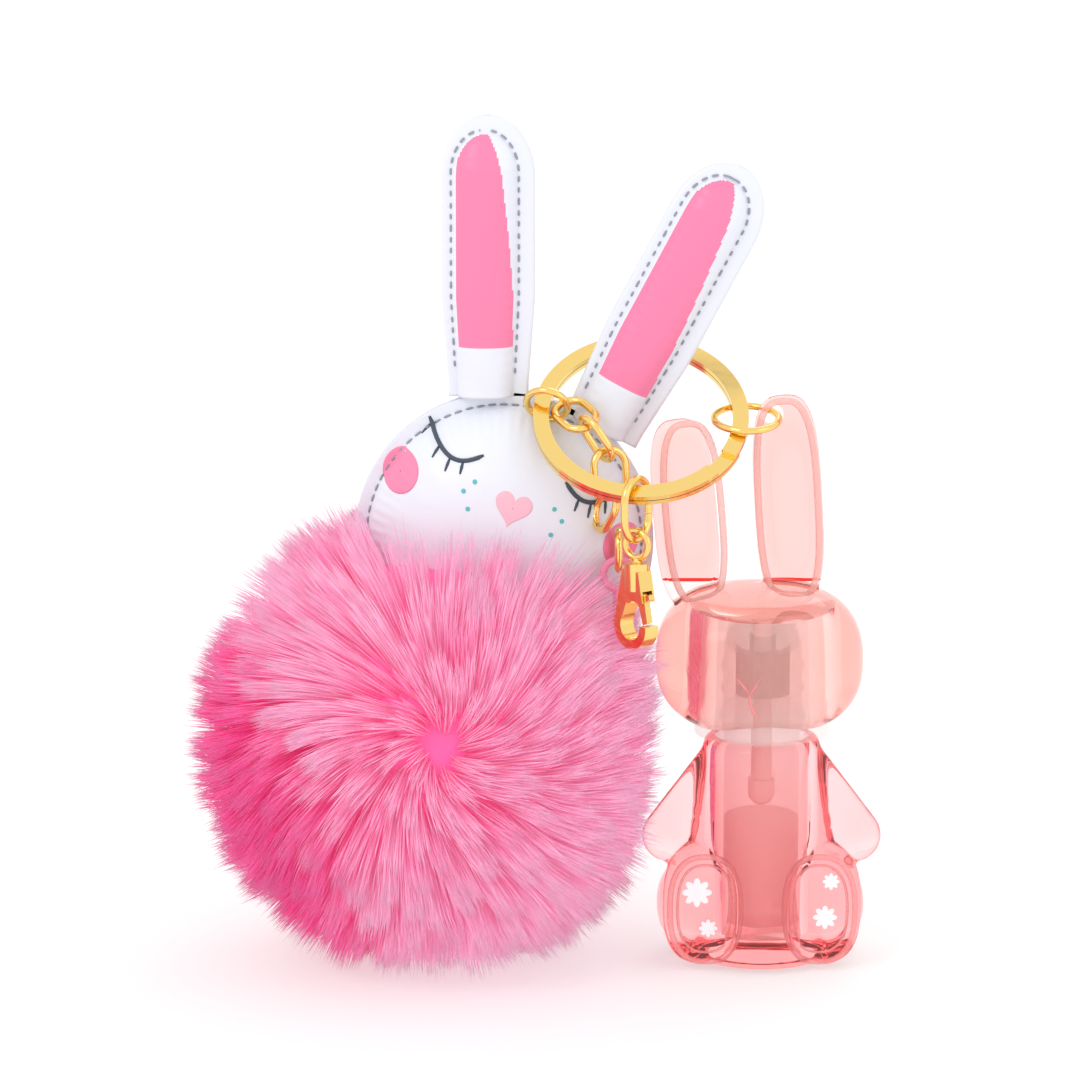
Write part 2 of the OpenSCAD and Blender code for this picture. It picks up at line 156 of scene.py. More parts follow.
def fur_material():
    """Colour comes from each strand: how deep its tuft is dyed, with painted shade and painted light laid
    into that depth, and how far along it is; the fur also gives off a faint painted glow in its own colour.
    """
    mat, tree, shader = material("fur", Roughness=0.55)
    shader.inputs["Sheen Weight"].default_value = 0.3
    attribute = tree.nodes.new("ShaderNodeAttribute")
    # the strands' colour, with painted shade and painted light laid into it
    attribute.attribute_name = "dye_and_shade"
    tree.links.new(attribute.outputs["Color"], shader.inputs["Base Color"])
    # painted glow: the fur gives off a little light in its own colour
    tree.links.new(attribute.outputs["Color"], shader.inputs["Emission Color"])
    shader.inputs["Emission Strength"].default_value = 0.2
    return mat


GOLD = gold_material()
WHITE = leather_material("white_leather", (0.80, 0.82, 0.90))
PINK = leather_material("pink_print", (0.93, 0.22, 0.40))
THREAD = plain_material("grey_thread", (0.32, 0.33, 0.38), 0.7)
INK = plain_material("dark_print", (0.05, 0.07, 0.1))
BLUSH = plain_material("blush_print", (0.93, 0.25, 0.42))
HEART = plain_material("heart_print", (0.96, 0.5, 0.6))
TEAL = plain_material("teal_print", (0.1, 0.5, 0.5))
FLOWER = plain_material("flower_print", (0.98, 0.95, 0.96))
PEACH = clear_material("clear_peach", (1.0, 0.68, 0.63), 105)
CORAL = clear_material("clear_coral", (1.0, 0.42, 0.43), 62)
MILKY = plain_material("milky_liner", (1.0, 0.82, 0.78), 0.25)
CORD = plain_material("pink_cord", (0.9, 0.3, 0.5), 0.8)
FUR = fur_material()
RIM = milky_material("coral_rim", (1.0, 0.36, 0.36), 0.5)
EAR_RIM = milky_material("peach_rim", (1.0, 0.52, 0.47), 0.5)
DEEP_PEACH = clear_material("deep_peach", (1.0, 0.58, 0.54), 300)
LINER = milky_material("clear_liner", (1.0, 0.82, 0.78), 0.22)
VIAL = milky_material("clear_vial", (1.0, 0.6, 0.58), 0.22)
GLOSS = milky_material("gloss", (1.0, 0.42, 0.42), 0.32, 0.2)


# ------------------------------------------------------------ mesh helpers


def make_object(name, verts, faces, mat, body, smooth=True):
    mesh = bpy.data.meshes.new(name)
    mesh.from_pydata([tuple(v) for v in verts], [], [tuple(f) for f in faces])
    mesh.update()
    obj = bpy.data.objects.new(name, mesh)
    bpy.context.collection.objects.link(obj)
    mesh.materials.append(mat)
    if smooth:
        mesh.polygons.foreach_set("use_smooth", [True] * len(mesh.polygons))
    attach(obj, body)
    return obj


def tube_mesh(path, radius, sides=8):
    """Vertices and faces of a closed tube with rounded-off ends along a path."""
    path = [Vector(p) for p in path]
    verts, faces = [], []
    for i, p in enumerate(path):
        ahead = path[min(i + 1, len(path) - 1)] - path[max(i - 1, 0)]
        ahead.normalize()
        side = ahead.cross(Vector((0.13, 1, 0.2))).normalized()
        up = side.cross(ahead)
        r = radius * (0.55 if i in (0, len(path) - 1) else 1)
        for k in range(sides):
            a = 2 * math.pi * k / sides
            verts.append(p + (side * math.cos(a) + up * math.sin(a)) * r)
    for i in range(len(path) - 1):
        for k in range(sides):
            a, b = i * sides + k, i * sides + (k + 1) % sides
            faces.append((a, b, b + sides, a + sides))
    last = (len(path) - 1) * sides
    faces.append(tuple(reversed(range(sides))))
    faces.append(tuple(range(last, last + sides)))
    return verts, faces


def joined(parts):
    """Several (verts, faces) as one."""
    verts, faces = [], []
    for v, f in parts:
        start = len(verts)
        verts.extend(v)
        faces.extend([tuple(i + start for i in face) for face in f])
    return verts, faces


def grid_faces(rows, columns, closed):
    faces = []
    for i in range(rows - 1):
        for k in range(columns if closed else columns - 1):
            a, b = i * columns + k, i * columns + (k + 1) % columns
            faces.append((a, b, b + columns, a + columns))
    return faces


# ------------------------------------------------------------ gold hardware

GOLD_NODES = [
    "split_ring", "small_jump_ring", "chain_link_a", "chain_link_b", "chain_link_c", "chain_link_d",
    "chain_link_e", "open_link", "clasp_eye", "clasp_body", "clasp_lever", "lever_pin", "charm_jump_ring",
]


def finish_hardware():
    for node in GOLD_NODES:
        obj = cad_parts[node]
        obj.data.materials.clear()
        obj.data.materials.append(GOLD)
        for polygon in obj.data.polygons:
            polygon.use_smooth = True
        rounding = obj.modifiers.new("rounding", "BEVEL")
        rounding.width = 0.00012
        rounding.segments = 2
        rounding.limit_method = "ANGLE"
        rounding.angle_limit = math.radians(50)
        normals = obj.modifiers.new("normals", "WEIGHTED_NORMAL")
        normals.keep_sharp = True
    for node, mat in (("lever_spring", GOLD), ("hanging_loop", CORD)):
        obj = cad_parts[node]
        obj.data.materials.clear()
        obj.data.materials.append(mat)


# ------------------------------------------------------------ plush head

SEAM_Y = 4.0
HEAD = Vector((-4.5, SEAM_Y, 59.4))
HEAD_R = 21.0
STITCH_R = 19.2
HEAD_DOME = 9.6
ROLL = math.radians(18)
STITCH_PITCH = 1.6
LEATHER_T = 0.8
HEAD_R_AXIS = Vector((math.cos(ROLL), 0, -math.sin(ROLL)))
HEAD_U_AXIS = Vector((math.sin(ROLL), 0, math.cos(ROLL)))
# the nose's place on the upright head, turned into the rolled head's own axes
NOSE_X = 1.17
NOSE_Z = 6.0
NOSE = Vector((
    NOSE_X * math.cos(ROLL) - NOSE_Z * math.sin(ROLL),
    NOSE_X * math.sin(ROLL) + NOSE_Z * math.cos(ROLL),
))


def dome_height(r, a, rim, top, stitches):
    """Depth of a stuffed panel at radius r, pulled in at each stitch and creased near the seam."""
    if r >= rim:
        return LEATHER_T
    full = top * (1 - (r / rim) ** 2.3) ** 0.62
    near = math.exp(-((rim - r) / 2.2) ** 2)
    pucker = 0.22 * near * math.cos(a * stitches)
    crease = 0.14 * math.exp(-((rim - r) / 5.0) ** 2) * math.sin(a * 17 + 1.3) * math.cos(a * 7)
    return LEATHER_T + max(0.0, full + (pucker + crease) * (1 - near * 0.3) * min(1, (rim - r) / 0.7))


def head_point(r, u, lift=0.0, side=-1):
    """Point on the head's front (side -1) or back (side 1), in mm from the head's centre."""
    radius, angle = math.hypot(r, u), math.atan2(u, r)
    depth = dome_height(radius, angle, STITCH_R, HEAD_DOME, 75) + lift
    return (HEAD + HEAD_R_AXIS * r + HEAD_U_AXIS * u + Vector((0, side * depth, 0))) * MM


def head_panel(name, side, nodes):
    columns, verts = 300, []
    # finer towards the seam, where the panel is pulled in at each stitch
    radii = [0.02] + list(np.linspace(0.5, 17.6, 34))
    radii += [18.0, 18.4, 18.7, 18.95, STITCH_R, 19.6, 20.2, 20.75, 20.98]
    for r in radii:
        for k in range(columns):
            a = 2 * math.pi * k / columns
            verts.append(head_point(r * math.cos(a), r * math.sin(a), 0, side))
    rows = len(radii)
    for r, depth in ((HEAD_R, 0.5), (20.9, 0.02)):
        for k in range(columns):
            a = 2 * math.pi * k / columns
            flat = HEAD + HEAD_R_AXIS * (r * math.cos(a)) + HEAD_U_AXIS * (r * math.sin(a))
            verts.append((flat + Vector((0, side * depth, 0))) * MM)
    faces = grid_faces(rows + 2, columns, True)
    faces.append(tuple(range(columns)))
    faces.append(tuple(reversed(range((rows + 1) * columns, (rows + 2) * columns))))
    if side > 0:
        faces = [tuple(reversed(f)) for f in faces]
    obj = make_object(name, verts, faces, WHITE, "plush")
    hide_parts(*nodes)


def head_stitches():
    parts = []
    count = int(2 * math.pi * STITCH_R / STITCH_PITCH)
    for side in (-1, 1):
        for i in range(count):
            a0 = 2 * math.pi * (i + 0.18) / count
            a1 = 2 * math.pi * (i + 0.82) / count
            path = []
            for t in np.linspace(0, 1, 4):
                a = a0 + (a1 - a0) * t
                lift = 0.14 * math.sin(math.pi * t) + 0.02
                path.append(head_point(19.35 * math.cos(a), 19.35 * math.sin(a), lift, side))
            parts.append(tube_mesh(path, 0.16 * MM, 6))
    obj = make_object("head_seam_stitches", *joined(parts), THREAD, "plush")


def print_patch(name, outline, mat, lift=0.07):
    """A thin printed shape on the head's front: a filled outline in mm (r, u) laid on the dome."""
    centre_r = sum(p[0] for p in outline) / len(outline)
    centre_u = sum(p[1] for p in outline) / len(outline)
    verts, count, rings = [], len(outline), 12
    for t in np.linspace(0.02, 1, rings):
        for r, u in outline:
            verts.append(head_point(centre_r + (r - centre_r) * t, centre_u + (u - centre_u) * t, lift))
    for r, u in outline:
        verts.append(head_point(r, u, -0.1))
    faces = grid_faces(rings + 1, count, True)
    faces.append(tuple(range(count)))
    make_object(name, verts, faces, mat, "plush")


def oval(r, u, half_r, half_u, count=36):
    angles = [2 * math.pi * k / count for k in range(count)]
    return [(NOSE.x + r + half_r * math.cos(a), NOSE.y + u + half_u * math.sin(a)) for a in angles]


def heart_outline(size):
    points = []
    for k in range(40):
        t = 2 * math.pi * k / 40
        x = 16 * math.sin(t) ** 3
        y = 13 * math.cos(t) - 5 * math.cos(2 * t) - 2 * math.cos(3 * t) - math.cos(4 * t)
        points.append((NOSE.x + x * size / 34, NOSE.y + (y + 2.5) * size / 34))
    return points


def closed_eye(name, side):
    """An arc with four lashes, as printed lines on the dome."""
    parts = []
    arc = []
    for t in np.linspace(0, 1, 15):
        r = side * (14.6 - 8.6 * t)
        u = 8.0 - 4.6 * math.sin(math.pi * (0.12 + 0.72 * t)) + 1.2 * (1 - t)
        arc.append((r, u))
    lines = [(arc, 0.34)]
    for t, length, lean in ((1, 2.0, 0.9), (4, 2.2, 0.5), (7, 2.3, 0.15), (10, 2.0, -0.1)):
        r, u = arc[t]
        lines.append(([(r, u), (r + side * lean, u - length * 0.9)], 0.24))
    for points, width in lines:
        if len(points) == 2:
            (r0, u0), (r1, u1) = points
            points = [(r0 + (r1 - r0) * s, u0 + (u1 - u0) * s) for s in (0, 0.5, 1)]
        path = [head_point(NOSE.x + r, NOSE.y + u, 0.0) for r, u in points]
        parts.append(tube_mesh(path, width * MM, 8))
    make_object(name, *joined(parts), INK, "plush")


def face_prints():
    print_patch("nose_heart_print", heart_outline(5.6), HEART)
    for name, side in (("left", -1), ("right", 1)):
        print_patch(f"{name}_cheek_print", oval(side * 16.2, -0.6, 2.5, 3.0), BLUSH)
        closed_eye(f"{name}_closed_eye_print", side)
    freckles = [(-6.1, 2.1), (-7.2, 0.4), (-5.9, -1.7), (5.6, 1.9), (7.1, 0.6), (6.2, -1.6)]
    for i, (r, u) in enumerate(freckles):
        print_patch(f"freckle_print_{i + 1}", oval(r, u, 0.33, 0.33, 12), TEAL)


# ------------------------------------------------------------ plush ears

EAR_W = 13.0
TUBE_R = 4.5
TUBE_DOME = 1.9
TUBE_SHIFT = -0.5
EAR_ROOT = 2.0
# how far the ear print narrows towards the tip, on its inner side
PRINT_TAPER = 0.75
EARS = {
    "left": {"base": Vector((-6.6, SEAM_Y, 81.9)), "lean": 0.0, "length": 37.5},
    "right": {"base": Vector((10.0, SEAM_Y, 76.8)), "lean": math.radians(28), "length": 40.0},
}


def ear_half_width(z, length, w):
    """Half width of a bar with a softly pointed round tip."""
    left = length - z
    taper = w * (0.86 + 0.14 * min(1, max(0, z) / 12))
    if left < 1.35 * w:
        return taper * math.sqrt(max(0.0, 1 - (1 - left / (1.35 * w)) ** 2))
    return taper


def ear_point(ear, x, z, depth, side):
    axis = Vector((math.sin(ear["lean"]), 0, math.cos(ear["lean"])))
    across = Vector((math.cos(ear["lean"]), 0, -math.sin(ear["lean"])))
    return (ear["base"] + across * x + axis * z + Vector((0, side * depth, 0))) * MM


def ear_depth(x, z, length):
    """Height of the ear's padding above the seam at a point, puckered beside the stitches."""
    inner = ear_half_width(z, length - (EAR_W / 2 - TUBE_R) - 0.2, TUBE_R)
    if inner <= 0.01:
        return LEATHER_T
    q = abs(x - TUBE_SHIFT) / inner
    if q >= 1:
        return LEATHER_T
    pucker = 0.1 * math.cos(z * 2 * math.pi / STITCH_PITCH) * q ** 4 * (1 - q) * 6
    wrinkle = 0.1 * math.sin(z * 0.9 + x * 0.8) * (1 - q * q) * math.exp(-max(0.0, z) / 7)
    tip = min(1, max(0.0, (length - 2.4 - z)) / 5) ** 0.5
    return LEATHER_T + (TUBE_DOME + 0.75) * (1 - q ** 2.6) ** 0.6 * tip + pucker + wrinkle


def ear_panel(side_name, ear, face_side, face_name, nodes):
    """Front or back of one ear; the front's printed stretch takes the pink slot."""
    length = ear["length"]
    rows = list(np.arange(-EAR_ROOT, length - 6, 0.4)) + list(np.linspace(length - 6, length - 0.02, 34))
    across = list(np.linspace(-1, 1, 61))
    verts, columns = [], len(across)
    for z in rows:
        half = ear_half_width(z, length, EAR_W / 2)
        for q in across:
            x = half * math.copysign(abs(q) ** 0.9, q)
            edge = 1 - abs(q)
            depth = ear_depth(x, z, length) * (0.55 + 0.45 * min(1, edge / 0.05))
            verts.append(ear_point(ear, x, z, depth, face_side))
    front = len(verts)
    for z in rows:
        half = ear_half_width(z, length, EAR_W / 2)
        for q in across:
            verts.append(ear_point(ear, half * math.copysign(abs(q) ** 0.9, q), z, 0.03, face_side))
    top = grid_faces(len(rows), columns, False)
    faces = top + [tuple(i + front for i in reversed(f)) for f in top]
    border = [k for k in range(columns)] + [r * columns + columns - 1 for r in range(1, len(rows))]
    border += [(len(rows) - 1) * columns + k for k in reversed(range(columns - 1))]
    border += [r * columns for r in reversed(range(1, len(rows) - 1))]
    for a, b in zip(border, border[1:] + border[:1]):
        faces.append((b, a, a + front, b + front))
    if face_side > 0:
        faces = [tuple(reversed(f)) for f in faces]
    obj = make_object(f"{side_name}_ear_{face_name}_leather", verts, faces, WHITE, "plush")
    if face_name == "front":
        obj.data.materials.append(PINK)
        for i, f in enumerate(top):
            row, column = divmod(f[0], columns)
            z, q = rows[row], across[column]
            x = ear_half_width(z, length, EAR_W / 2) * math.copysign(abs(q) ** 0.9, q)
            inner = ear_half_width(z - 0.3, length - 2.9, TUBE_R - 0.35)
            # the print's outer edge runs straight, its inner edge leans in towards the tip
            lean_in = 1 - PRINT_TAPER * (max(0.0, z) / length) ** 2
            if z > 5.0 and -inner < x - TUBE_SHIFT < inner * lean_in:
                obj.data.polygons[i].material_index = 1
    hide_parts(*nodes)


def ear_stitches(side_name, ear):
    """A dashed thread that follows the tube's outline up one side, round the tip and down the other."""
    length = ear["length"]
    outline_len = length - (EAR_W / 2 - TUBE_R)
    heights = list(np.arange(1.0, length - 9, 0.25))
    heights += list(length - 9 + 6.98 * np.sin(np.linspace(0, math.pi / 2, 60)))
    right = [(ear_half_width(z, outline_len, TUBE_R) + TUBE_SHIFT + 0.25, z) for z in heights]
    left = [(-ear_half_width(z, outline_len, TUBE_R) + TUBE_SHIFT - 0.25, z) for z in reversed(heights)]
    line = right + left
    parts, travelled, dash = [], 0.0, []
    for (x0, z0), (x1, z1) in zip(line, line[1:]):
        travelled += math.hypot(x1 - x0, z1 - z0)
        if travelled % STITCH_PITCH < STITCH_PITCH * 0.66:
            dash.append((x1, z1))
        else:
            if len(dash) > 2:
                parts.append(dash)
            dash = []
    tubes = []
    for side in (-1, 1):
        for dash in parts:
            path = [ear_point(ear, x, z, 0.9, side) for x, z in dash]
            tubes.append(tube_mesh(path, 0.15 * MM, 6))
    make_object(f"{side_name}_ear_stitches", *joined(tubes), THREAD, "plush")


# ------------------------------------------------------------ pom-pom

BALL = np.array([-14.0, 0.0, 32.0])
ROOT_R = 21.0
PILE_R = 35.8
BOTTLE_X = 31.8
BOTTLE_CLEAR = 18.2
# where the clasp hangs, the radius kept free round it, and how far down that reaches
CLASP_AT = (13.87, -13.14)
CLASP_CLEAR = 5.4
CLASP_BOTTOM = 45
STRANDS_PER_PIECE = 12000
FUR_PIECES = 5
TUFTS = 700
SWIRL_POLE = np.array([0.03, -0.985, 0.16])
# above this height no pile lies over the face
FACE_FUR_TOP = 63.4
# the crescent of painted shade, deep colour on the lower left of the pile, is laid out along this leaning
# upward direction, about this middle height
SHADE_CRESCENT_UP_Y = 0.208
SHADE_CRESCENT_UP_Z = 0.978
SHADE_CRESCENT_MIDDLE = 31.3
PALE = np.array([1.0, 0.46, 0.68])
HOT = np.array([0.97, 0.13, 0.40])
DEEP = np.array([0.86, 0.02, 0.26])


def unit_rows(v):
    return v / np.maximum(np.linalg.norm(v, axis=1, keepdims=True), 1e-9)


def even_directions(count):
    """Directions spread evenly over a sphere."""
    i = np.arange(count) + 0.5
    polar = np.arccos(1 - 2 * i / count)
    turn = math.pi * (1 + 5 ** 0.5) * i
    return np.stack([np.cos(turn) * np.sin(polar), np.sin(turn) * np.sin(polar), np.cos(polar)], 1)


def wander(normal, scale, seed):
    """A smooth random direction field over the ball, from a few crossed waves."""
    waves = np.random.default_rng(seed)
    field = np.zeros_like(normal)
    for _ in range(7):
        along = waves.normal(size=(3, 3)) * scale
        field += np.sin(normal @ along + waves.uniform(0, 6, 3))
    return field / 7 ** 0.5


def lie_of_pile(normal):
    """Which way the pile lies at a root: outwards, away from the swirl at the front, a little round it."""
    facing = normal @ SWIRL_POLE
    away = unit_rows(normal * facing[:, None] - SWIRL_POLE)
    around = np.cross(normal, away)
    away_from_pole = np.clip(1 - facing, 0, 1)
    spread = 0.12 + 0.75 * np.sqrt(away_from_pole) * np.clip(facing + 0.7, 0, 1)
    swirl = 0.42 * np.clip(facing, 0, 1)
    lie = normal * 0.85 + away * spread[:, None] + around * swirl[:, None]
    lie += 0.26 * wander(normal, 2.6, 5) + 0.2 * wander(normal, 6.5, 6)
    return unit_rows(lie)


def keep_clear(points):
    """Pushes pile off the floor, then out of the bottle's space, then out of the clasp's hollow.

    The clasp comes last, so pile pushed away from it can end up back in the bottle's space.
    """
    points = points.copy()
    points[:, 2] = np.maximum(points[:, 2], 0.5)
    for axis, clear, bottom in (((BOTTLE_X, 0), BOTTLE_CLEAR, -1), (CLASP_AT, CLASP_CLEAR, CLASP_BOTTOM)):
        flat = points[:, :2] - np.array(axis)
        reach = np.maximum(np.hypot(flat[:, 0], flat[:, 1]), 1e-6)
        inside = np.where(points[:, 2] > bottom, np.maximum(0, clear - reach), 0)
        points[:, :2] += flat / reach[:, None] * inside[:, None]
    return points


def tuft_dye_and_shade(tip):
    """How deep each tuft's colour is: a deep crescent of painted shade at the left and lower left, paler to
    the right as painted light, deeper towards the back, with random tone from tuft to tuft.
    """
    x = (tip[:, 0] - BALL[0]) / PILE_R
    z = (tip[:, 2] * SHADE_CRESCENT_UP_Z + tip[:, 1] * SHADE_CRESCENT_UP_Y - SHADE_CRESCENT_MIDDLE) / PILE_R
    # painted shade: a crescent of deep colour at the left and lower left
    shade_crescent = np.clip((-x * 0.84 - z * 0.4 - 0.47) * 3.4, 0, 1)
    back = np.clip(tip[:, 1] / PILE_R + 0.25, 0, 1) * 0.6
    # painted shade from the crescent, deeper towards the back, and painted light that makes the right side
    # paler
    dye_and_shade = 0.06 + 0.95 * shade_crescent + back - 0.2 * np.clip(x, 0, 1)
    return np.clip(dye_and_shade + rng.normal(0, 0.13, len(tip)), 0, 1)


def head_span_y(points):
    """Front and back of the padded head at each point, as y; an empty span outside its outline."""
    away = points - np.array(HEAD)
    radius = np.hypot(away[:, 0], away[:, 2])
    bulge = HEAD_DOME * np.maximum(0, 1 - (radius / HEAD_R) ** 2) ** 0.6 + 1.0
    over_head = radius < HEAD_R + 0.3
    return np.where(over_head, SEAM_Y - bulge, 1e3), np.where(over_head, SEAM_Y + bulge, -1e3)


def grow_strands(count, tuft_tips, tuft_tree, dye_and_shade):
    """Roots, middles, tips and dye of strands that lean with the pile and gather into tufts."""
    normal = unit_rows(rng.normal(size=(count, 3)))
    root = BALL + normal * ROOT_R
    lie = lie_of_pile(normal)
    # each strand reaches the pile's outer face however far it leans
    leaning = np.sum(normal * lie, 1)
    need = -ROOT_R * leaning + np.sqrt((ROOT_R * leaning) ** 2 + PILE_R ** 2 - ROOT_R ** 2)
    length = need * rng.uniform(0.72, 1.03, count)
    tip = root + lie * length[:, None]
    nearest = np.array([tuft_tree.find(Vector(p))[1] for p in tip])
    gather = rng.uniform(0.2, 0.7, count)[:, None]
    tip = tip + (tuft_tips[nearest] - tip) * gather + rng.normal(0, 0.5, (count, 3))
    middle = root + (tip - root) * 0.5 + normal * rng.uniform(0.8, 3.2, count)[:, None]
    root, middle, tip = keep_clear(root), keep_clear(middle), keep_clear(tip)
    front, back = head_span_y(tip)
    in_head = (tip[:, 1] > front - 0.4) & (tip[:, 1] < back + 0.4)
    face_line = FACE_FUR_TOP + rng.normal(0, 0.9, count)
    over_face = (tip[:, 1] <= front - 0.4) & (front < 1e2) & (tip[:, 2] > face_line)
    keep = ~(in_head | over_face)
    return root[keep], middle[keep], tip[keep], dye_and_shade[nearest][keep]


def strand_mesh(name, root, middle, tip, dye_and_shade):
    """Every strand as a tapered three sided bar, with its colour at each vertex."""
    count = len(root)
    steps = np.array([0.0, 0.4, 0.75])
    widths = np.array([0.12, 0.11, 0.07])
    verts = np.zeros((count, 10, 3), np.float32)
    colours = np.zeros((count, 10, 4), np.float32)
    colours[:, :, 3] = 1
    side = unit_rows(np.cross(tip - root, rng.normal(size=(count, 3))))
    up = unit_rows(np.cross(tip - root, side))
    light = rng.uniform(0.86, 1.08, count)[:, None]
    for s, (t, w) in enumerate(zip(steps, widths)):
        centre = root * (1 - t) ** 2 + middle * 2 * t * (1 - t) + tip * t ** 2
        for k in range(3):
            a = 2 * math.pi * k / 3
            verts[:, s * 3 + k] = centre + side * (w * math.cos(a)) + up * (w * math.sin(a))
    verts[:, 9] = tip
    for v, t in enumerate(list(np.repeat(steps, 3)) + [1]):
        depth = np.clip(dye_and_shade + 0.6 * (1 - t) ** 1.6 - 0.1 * t, 0, 1.3)[:, None]
        pale_to_hot = PALE + (HOT - PALE) * np.clip(depth / 0.6, 0, 1)
        colour = pale_to_hot + (DEEP - pale_to_hot) * np.clip((depth - 0.6) / 0.6, 0, 1)
        colours[:, v, :3] = np.clip(colour * light, 0, 1)
    pattern = []
    for s in (0, 3):
        for k in range(3):
            a, b = s + k, s + (k + 1) % 3
            pattern += [(a, b, b + 3), (a, b + 3, a + 3)]
    pattern += [(6, 7, 9), (7, 8, 9), (8, 6, 9), (2, 1, 0)]
    faces = (np.array(pattern)[None] + 10 * np.arange(count)[:, None, None]).reshape(-1, 3)
    mesh = bpy.data.meshes.new(name)
    mesh.vertices.add(count * 10)
    mesh.vertices.foreach_set("co", (verts.reshape(-1, 3) * MM).ravel())
    mesh.loops.add(len(faces) * 3)
    mesh.loops.foreach_set("vertex_index", faces.ravel())
    mesh.polygons.add(len(faces))
    mesh.polygons.foreach_set("loop_start", np.arange(len(faces)) * 3)
    mesh.update(calc_edges=True)
    mesh.color_attributes.new("dye_and_shade", "FLOAT_COLOR", "POINT").data.foreach_set("color", colours.ravel())
    mesh.polygons.foreach_set("use_smooth", [True] * len(faces))
    obj = bpy.data.objects.new(name, mesh)
    bpy.context.collection.objects.link(obj)
    mesh.materials.append(FUR)
    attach(obj, "plush")
    return obj


def make_pompom():
    directions = even_directions(TUFTS)
    directions = unit_rows(directions + rng.normal(0, 0.035, directions.shape))
    tuft_tips = BALL + directions * (PILE_R * rng.uniform(0.93, 1.04, TUFTS))[:, None]
    tree = KDTree(TUFTS)
    for i, p in enumerate(tuft_tips):
        tree.insert(Vector(p), i)
    tree.balance()
    dye_and_shade = tuft_dye_and_shade(tuft_tips)
    count = STRANDS_PER_PIECE
    for n in range(FUR_PIECES):
        strand_mesh(f"pompom_pile_{n + 1}", *grow_strands(count, tuft_tips, tree, dye_and_shade))
    undercoat()


def undercoat():
    """The dense short pile next to the backing, seen only between the long strands."""
    rows, columns = 60, 120
    polar = np.linspace(0.01, math.pi - 0.01, rows)
    turn = np.linspace(0, 2 * math.pi, columns, endpoint=False)
    p, t = np.meshgrid(polar, turn, indexing="ij")
    normal = np.stack([np.cos(t) * np.sin(p), np.sin(t) * np.sin(p), np.cos(p)], -1).reshape(-1, 3)
    radius = 25.5 + rng.uniform(-0.5, 0.5, len(normal))
    points = keep_clear(BALL + normal * radius[:, None])
    faces = grid_faces(rows, columns, True)
    faces.append(tuple(range(columns)))
    faces.append(tuple(reversed(range((rows - 1) * columns, rows * columns))))
    faces = [tuple(reversed(f)) for f in faces]
    obj = make_object("pompom_undercoat", points * MM, faces, FUR, "plush")
    colour = np.tile(np.append(HOT, 1.0), (len(points), 1)).astype(np.float32)
    obj.data.color_attributes.new("dye_and_shade", "FLOAT_COLOR", "POINT").data.foreach_set("color", colour.ravel())
    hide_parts("pompom_fur", "pompom_stuffing")


# ------------------------------------------------------------ clear bunny


def signed_power(value, power):
    return math.copysign(abs(value) ** power, value)


def rounded_block(centre, half, power=0.7, rows=40, columns=72):
    """A superellipsoid: verts and faces, in mm."""
    verts = []
    for i in range(rows + 1):
        p = -math.pi / 2 + math.pi * i / rows
        for k in range(columns):
            t = 2 * math.pi * k / columns
            ring = signed_power(math.cos(p), power)
            verts.append(Vector((
                centre[0] + half[0] * ring * signed_power(math.cos(t), power),
                centre[1] + half[1] * ring * signed_power(math.sin(t), power),
                centre[2] + half[2] * signed_power(math.sin(p), power),
            )))
    return verts, grid_faces(rows + 1, columns, True)


def turned(shape, centre, axis, angle):
    to_centre = Matrix.Translation(-Vector(centre))
    matrix = Matrix.Translation(centre) @ Matrix.Rotation(angle, 4, axis) @ to_centre
    return [matrix @ v for v in shape[0]], shape[1]


def lathe(profile, x, columns=96):
    """A closed solid of revolution about the bottle's axis from (radius, height) pairs, bottom to top."""
    verts = []
    for radius, z in profile:
        for k in range(columns):
            a = 2 * math.pi * k / columns
            verts.append(Vector((x + radius * math.cos(a), radius * math.sin(a), z)))
    faces = grid_faces(len(profile), columns, True)
    faces.append(tuple(reversed(range(columns))))
    last = (len(profile) - 1) * columns
    faces.append(tuple(range(last, last + columns)))
    return verts, faces


def temporary(shape, name):
    mesh = bpy.data.meshes.new(name)
    mesh.from_pydata([tuple(v * MM) for v in shape[0]], [], shape[1])
    obj = bpy.data.objects.new(name, mesh)
    bpy.context.collection.objects.link(obj)
    return obj


def fused(name, shapes, cutters, voxel, mat, body):
    """Melts overlapping closed shapes into one smooth solid, then cuts the holes."""
    source = temporary(joined(shapes), name + "_source")
    melt = source.modifiers.new("melt", "REMESH")
    melt.mode = "VOXEL"
    melt.voxel_size = voxel * MM
    soften = source.modifiers.new("soften", "SMOOTH")
    soften.factor = 0.5
    soften.iterations = 8
    holes = []
    for i, shape in enumerate(cutters):
        hole = temporary(shape, f"{name}_hole_{i}")
        cut = source.modifiers.new("cut", "BOOLEAN")
        cut.operation = "DIFFERENCE"
        cut.solver = "EXACT"
        cut.object = hole
        holes.append(hole)
    bpy.context.view_layer.update()
    evaluated = source.evaluated_get(bpy.context.evaluated_depsgraph_get())
    mesh = bpy.data.meshes.new_from_object(evaluated)
    mesh.name = name
    obj = bpy.data.objects.new(name, mesh)
    bpy.context.collection.objects.link(obj)
    mesh.materials.clear()
    mesh.materials.append(mat)
    mesh.polygons.foreach_set("use_smooth", [True] * len(mesh.polygons))
    mesh.set_sharp_from_angle(angle=math.radians(40))
    for used in [source] + holes:
        bpy.data.objects.remove(used, do_unlink=True)
    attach(obj, body)
    return obj


